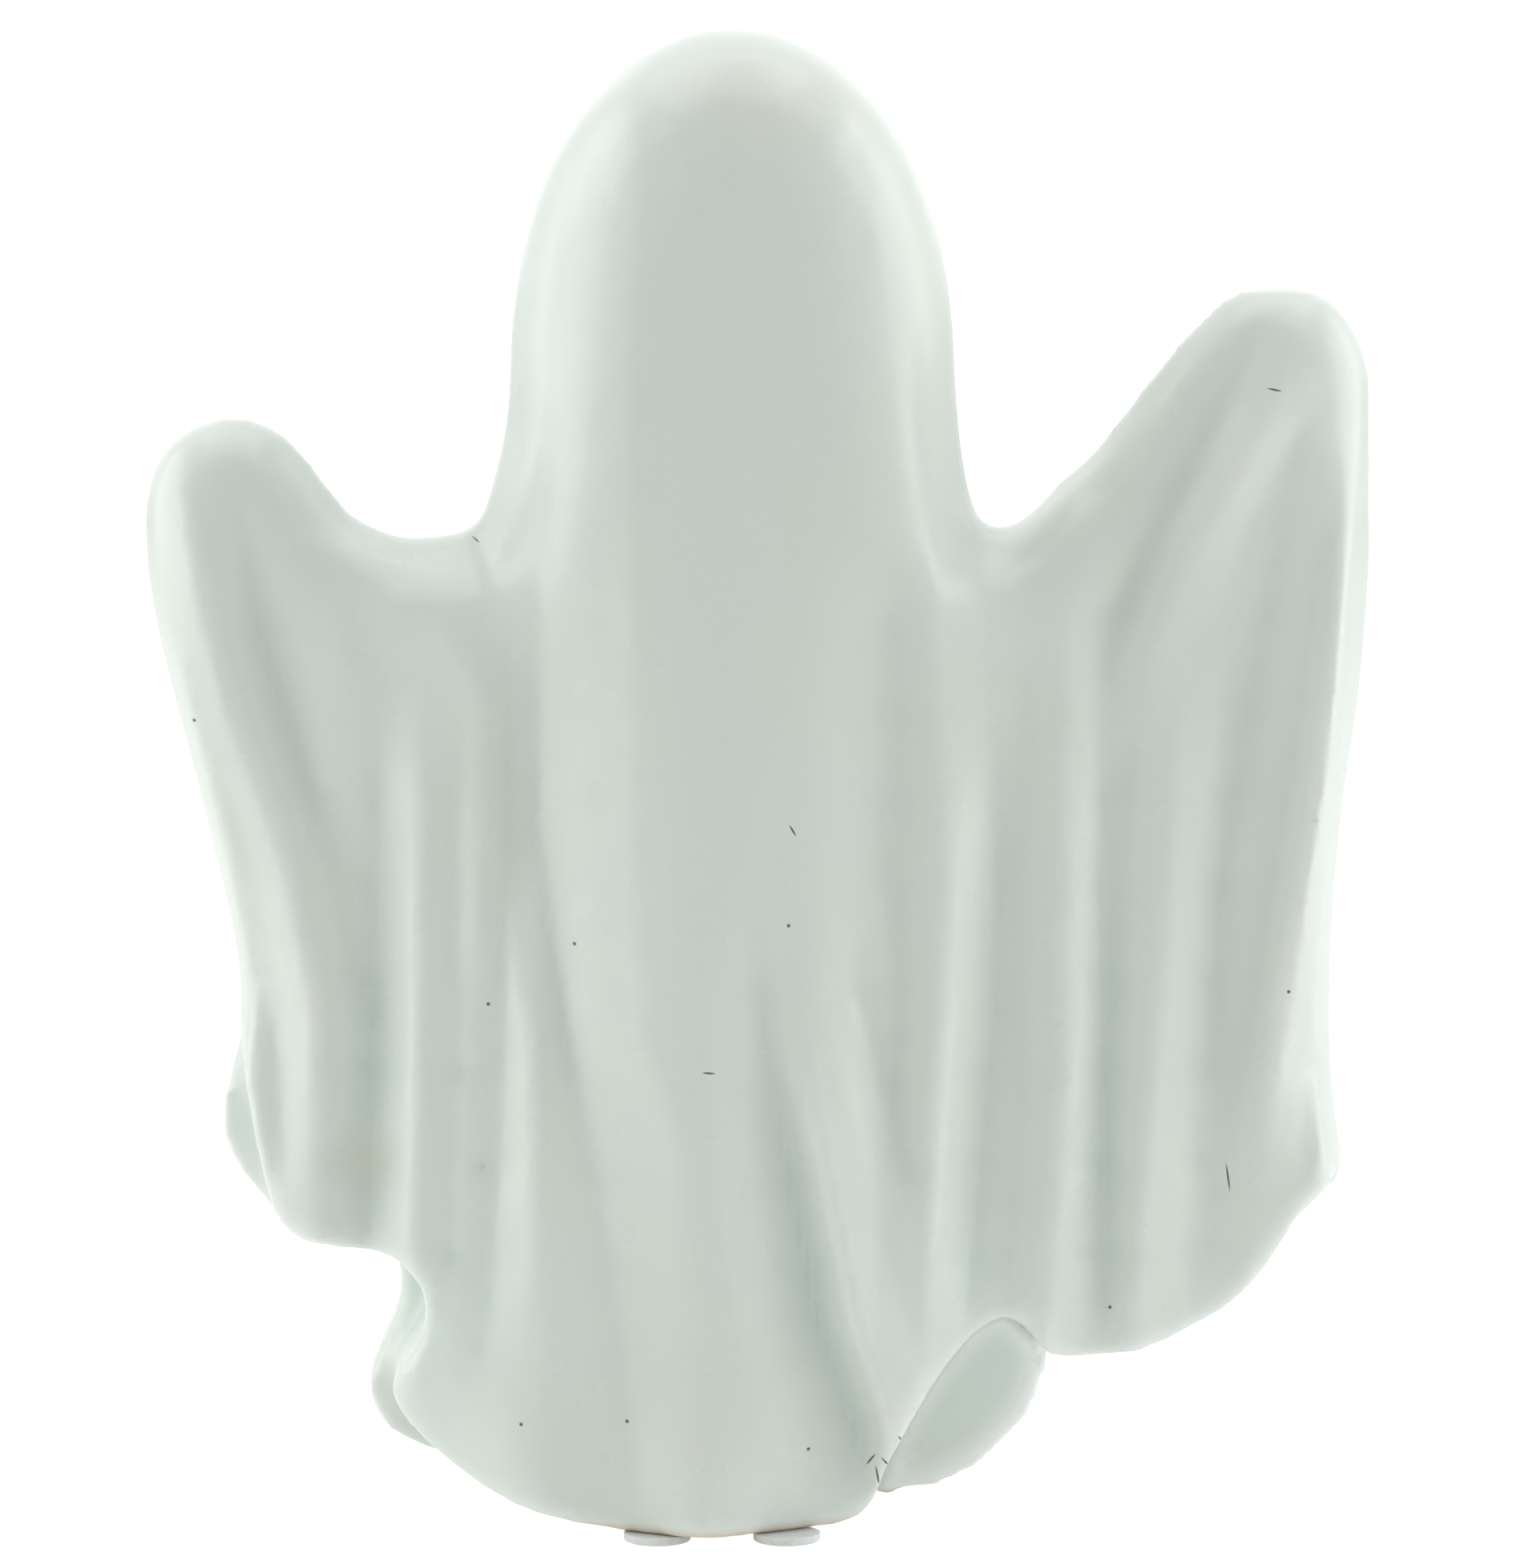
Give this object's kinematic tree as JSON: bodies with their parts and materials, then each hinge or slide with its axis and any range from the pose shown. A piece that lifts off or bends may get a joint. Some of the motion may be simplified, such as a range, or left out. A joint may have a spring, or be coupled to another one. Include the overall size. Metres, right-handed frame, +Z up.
{
  "type": "ceramic ghost figure",
  "caption": "Hollow glazed ceramic ghost under a draped sheet with raised arms, one higher, a simple sunk face and a lifted wavy hem, standing on clear foot dots.",
  "frame": {"origin": "on the table under the middle of the figure's box", "axes": "+Z up, the face looks towards -Y, the figure's own left arm is on +X"},
  "size_m": [0.1482, 0.0689, 0.179],
  "materials": {
    "white_glaze": "satin gloss",
    "black_glaze": "gloss",
    "clear_silicone": "satin"
  },
  "bodies": {
    "root": {"ghost_shell": "white_glaze", "left_eye_glaze": "black_glaze", "right_eye_glaze": "black_glaze", "mouth_glaze": "black_glaze", "foot_dot_back_left": "clear_silicone", "foot_dot_back_right": "clear_silicone", "foot_dot_front_left": "clear_silicone", "foot_dot_front_right": "clear_silicone"}
  },
  "joints": []
}
